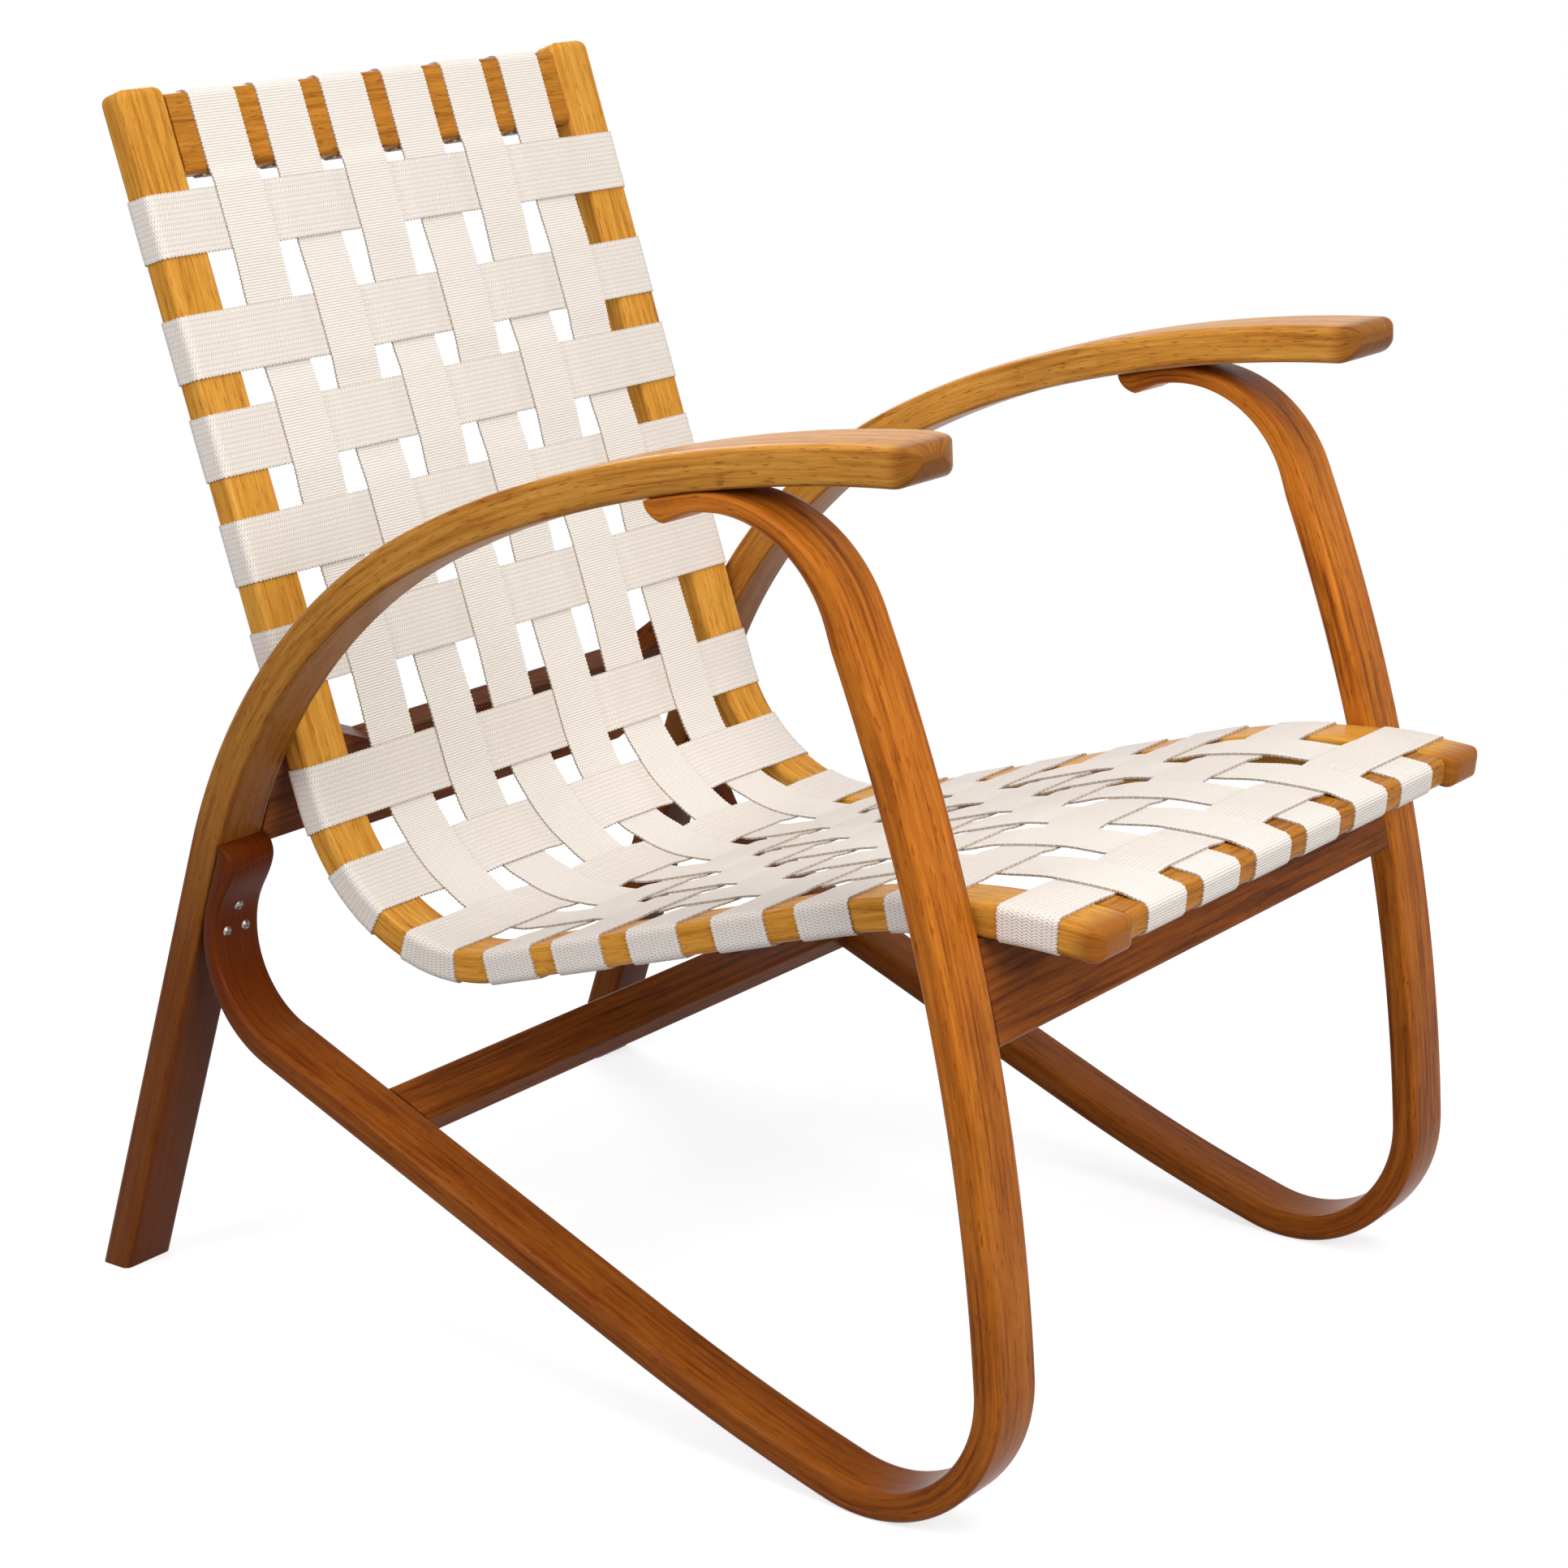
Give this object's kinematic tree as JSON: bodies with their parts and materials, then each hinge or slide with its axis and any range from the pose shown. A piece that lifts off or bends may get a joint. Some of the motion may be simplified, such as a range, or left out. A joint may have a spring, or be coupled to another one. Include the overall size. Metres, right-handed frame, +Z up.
{
  "type": "lounge armchair",
  "caption": "Bentwood lounge armchair: two closed side loops with scroll ends, curved seat rails and a woven webbing seat and back.",
  "frame": {"origin": "on the floor, below the middle of the whole chair's box", "axes": "-Y to the front, where a sitter looks; +Z up; X across, +X on the sitter's left"},
  "size_m": [0.588, 0.8562, 0.8661],
  "materials": {
    "arm_wood": "satin varnish",
    "loop_wood": "satin varnish",
    "rail_wood": "satin varnish",
    "cross_wood": "satin varnish",
    "webbing": "woven cotton",
    "fastener_steel": "polished"
  },
  "bodies": {
    "root": {"right_arm_leg": "arm_wood", "left_arm_leg": "arm_wood", "right_front_loop": "loop_wood", "left_front_loop": "loop_wood", "front_cross_rail": "cross_wood", "rear_cross_rail": "cross_wood", "lower_cross_rail": "cross_wood", "right_seat_rail": "rail_wood", "left_seat_rail": "rail_wood", "back_top_bar": "rail_wood", "seat_front_bar": "rail_wood", "lengthwise_strap_1": "webbing", "lengthwise_strap_2": "webbing", "lengthwise_strap_3": "webbing", "lengthwise_strap_4": "webbing", "lengthwise_strap_5": "webbing", "lengthwise_strap_6": "webbing", "cross_strap_1": "webbing", "cross_strap_2": "webbing", "cross_strap_3": "webbing", "cross_strap_4": "webbing", "cross_strap_5": "webbing", "cross_strap_6": "webbing", "cross_strap_7": "webbing", "cross_strap_8": "webbing", "cross_strap_9": "webbing", "cross_strap_10": "webbing", "cross_strap_11": "webbing", "cross_strap_12": "webbing", "cross_strap_13": "webbing", "cross_strap_14": "webbing", "cross_strap_15": "webbing", "rear_joint_screws": "fastener_steel", "arm_tab_screws": "fastener_steel", "rear_rail_screws": "fastener_steel", "top_bar_nails": "fastener_steel", "lengthwise_tacks": "fastener_steel", "right_rail_tacks": "fastener_steel", "left_rail_tacks": "fastener_steel"}
  },
  "joints": []
}
